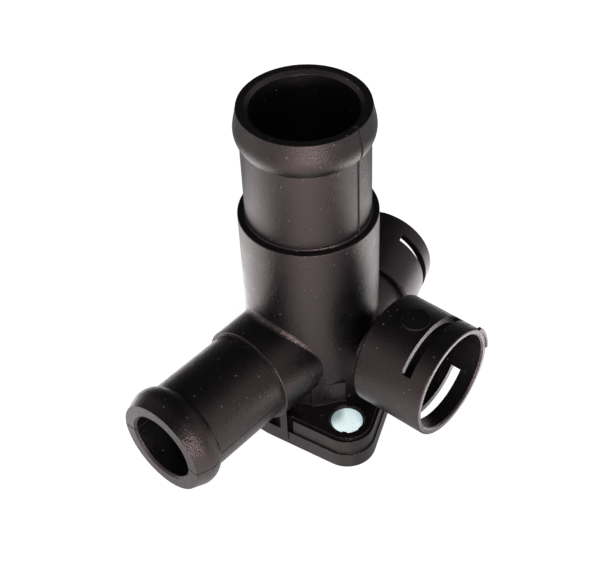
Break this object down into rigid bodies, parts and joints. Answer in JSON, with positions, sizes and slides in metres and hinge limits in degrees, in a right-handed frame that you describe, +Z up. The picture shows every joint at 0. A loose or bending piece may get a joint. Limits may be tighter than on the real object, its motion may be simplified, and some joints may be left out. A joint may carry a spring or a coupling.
{
  "type": "coolant flange",
  "caption": "Moulded coolant flange with an upright hose riser, a smaller side hose stub, clip-in sensor sockets and a bolt-on base plate with metal sleeves.",
  "frame": {"origin": "centre of the mounting face, midway between the two bolts, on the riser's axis", "axes": "+Z up the riser away from the mounting face, +Y along the line of the two bolts"},
  "size_m": [0.0958, 0.0797, 0.0971],
  "materials": {
    "black_nylon": "satin glass-filled moulding",
    "plated_steel": "bright zinc plated"
  },
  "bodies": {
    "root": {"flange_body": "black_nylon", "bolt_sleeve_front": "plated_steel", "bolt_sleeve_rear": "plated_steel"}
  },
  "joints": []
}
